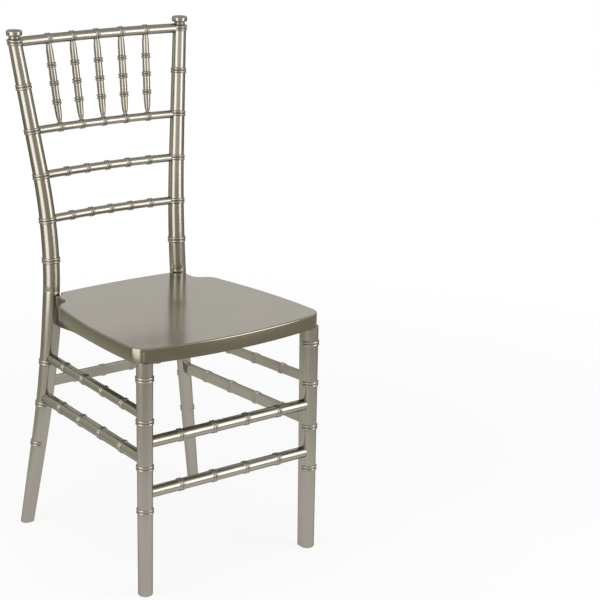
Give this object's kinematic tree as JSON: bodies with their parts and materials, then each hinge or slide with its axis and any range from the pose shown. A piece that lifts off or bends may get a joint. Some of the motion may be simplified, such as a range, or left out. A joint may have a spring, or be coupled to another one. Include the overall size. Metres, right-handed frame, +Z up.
{
  "type": "chiavari chair",
  "caption": "Ballroom chair with bent ring-turned back posts, spindle back, ladder rails, stretchers and a moulded seat, in champagne metallic resin.",
  "frame": {"origin": "on the floor, at the middle of the bottom of the chair's box", "axes": "+Z up, -Y the way a sitter faces, +X the sitter's left hand side as seen from above with the front towards -Y"},
  "size_m": [0.399, 0.4694, 0.919],
  "materials": {
    "frame_finish": "champagne metallic, semi-gloss",
    "seat_finish": "champagne metallic, high gloss",
    "screw_steel": "zinc plated"
  },
  "bodies": {
    "root": {"crest_rail": "frame_finish", "spindle_rail": "frame_finish", "middle_rail": "frame_finish", "lower_rail": "frame_finish", "left_back_post": "frame_finish", "right_back_post": "frame_finish", "left_front_leg": "frame_finish", "right_front_leg": "frame_finish", "front_upper_stretcher": "frame_finish", "front_lower_stretcher": "frame_finish", "rear_stretcher": "frame_finish", "left_upper_stretcher": "frame_finish", "left_lower_stretcher": "frame_finish", "right_upper_stretcher": "frame_finish", "right_lower_stretcher": "frame_finish", "spindle_1": "frame_finish", "spindle_2": "frame_finish", "spindle_3": "frame_finish", "spindle_4": "frame_finish", "spindle_5": "frame_finish", "seat_shell": "seat_finish", "front_seat_rail": "frame_finish", "rear_seat_rail": "frame_finish", "left_seat_rail": "frame_finish", "right_seat_rail": "frame_finish", "seat_screws": "screw_steel"}
  },
  "joints": []
}
